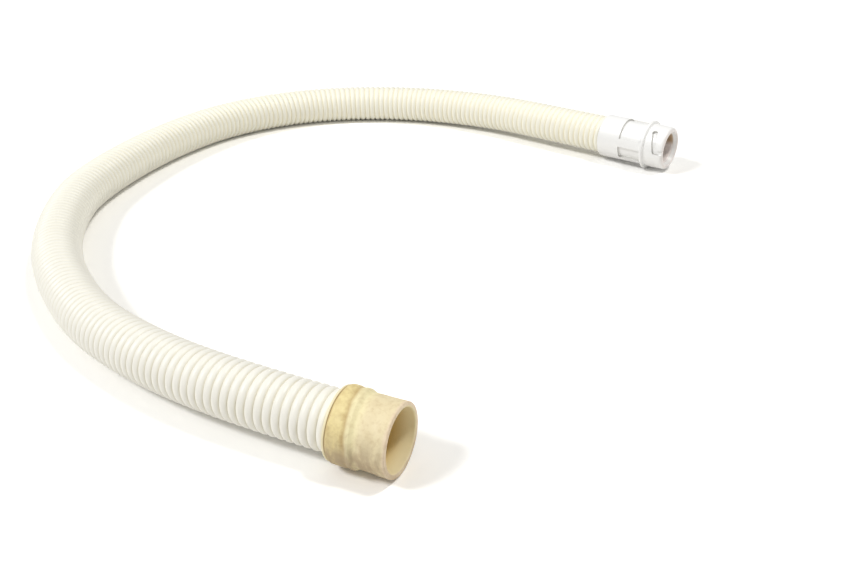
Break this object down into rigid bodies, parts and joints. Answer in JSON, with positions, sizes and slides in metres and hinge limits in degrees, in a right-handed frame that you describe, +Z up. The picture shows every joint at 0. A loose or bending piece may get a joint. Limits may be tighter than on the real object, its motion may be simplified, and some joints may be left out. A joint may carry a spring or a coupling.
{
  "type": "pool cleaner suction hose section",
  "caption": "Ribbed suction hose section for a pool cleaner, lying in a C, with a soft push-on swivel cuff and a twist-lock bayonet tip.",
  "frame": {"origin": "on the floor, below the middle of the bounding box", "axes": "+Z up from the floor; +Y from the cuff's side of the C to the socket's side, along the longest extent; +X from the closed side of the C to its open side"},
  "size_m": [0.564, 0.655, 0.0466],
  "materials": {
    "hose_plastic": "aged cream-white flexible plastic",
    "sleeve_plastic": "aged cream moulded plastic",
    "cuff_vinyl": "yellowed soft vinyl with stains",
    "socket_plastic": "white moulded plastic"
  },
  "bodies": {
    "hose_line": {"hose": "hose_plastic", "swivel_sleeve": "sleeve_plastic", "lock_socket": "socket_plastic"},
    "swivel_cuff": {"cuff": "cuff_vinyl"}
  },
  "joints": [
    {"name": "cuff_swivel", "type": "hinge", "parent": "hose_line", "child": "swivel_cuff", "pos_m": [-0.01211, -0.29267, 0.02258], "axis": [0.9189, -0.3938, -0.021], "continuous": true}
  ]
}
